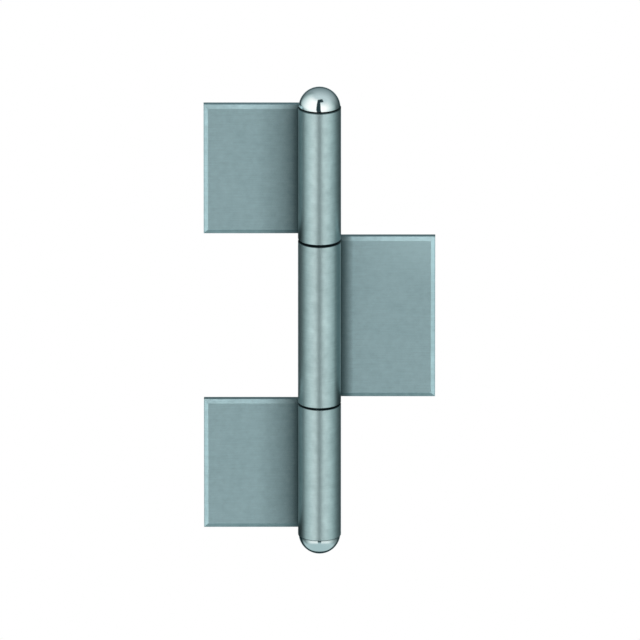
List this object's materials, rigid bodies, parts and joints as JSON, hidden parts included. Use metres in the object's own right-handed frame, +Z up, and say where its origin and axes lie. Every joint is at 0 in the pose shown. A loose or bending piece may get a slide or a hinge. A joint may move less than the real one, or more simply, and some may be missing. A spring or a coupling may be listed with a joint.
{
  "type": "lift off hinge",
  "caption": "Weld-on lift off hinge with rolled knuckles on one removable pin, offset flat leaves, slide bushes at the joints and polished ball caps.",
  "frame": {"origin": "on the pin axis at half the height of the barrel, within 0.3 mm of the centre of the box of the open hinge", "axes": "+Z up along the pin axis, towards the cap that lifts out; +Y towards the backs of the leaves; +X towards the door leaf's free edge"},
  "size_m": [0.1074, 0.02, 0.2284],
  "materials": {
    "leaf_steel": "fine satin grain on the leaves, turned satin on the knuckles",
    "pin_steel": "smooth ground",
    "polished_cap": "mirror polished",
    "bush_polymer": "plain matt black"
  },
  "bodies": {
    "frame": {"upper_frame_leaf": "leaf_steel", "lower_frame_leaf": "leaf_steel", "bottom_cap": "polished_cap"},
    "door": {"door_leaf": "leaf_steel", "upper_bush": "bush_polymer", "lower_bush": "bush_polymer"},
    "pin": {"hinge_pin": "pin_steel", "top_cap": "polished_cap"}
  },
  "joints": [
    {"name": "door_swing", "type": "hinge", "parent": "frame", "child": "door", "pos_m": [0, 0, 0], "axis": [0, 0, 1], "continuous": true},
    {"name": "pin_lift", "type": "slide", "parent": "frame", "child": "pin", "axis": [0, 0, 1], "range_m": [0, 0.212]}
  ]
}
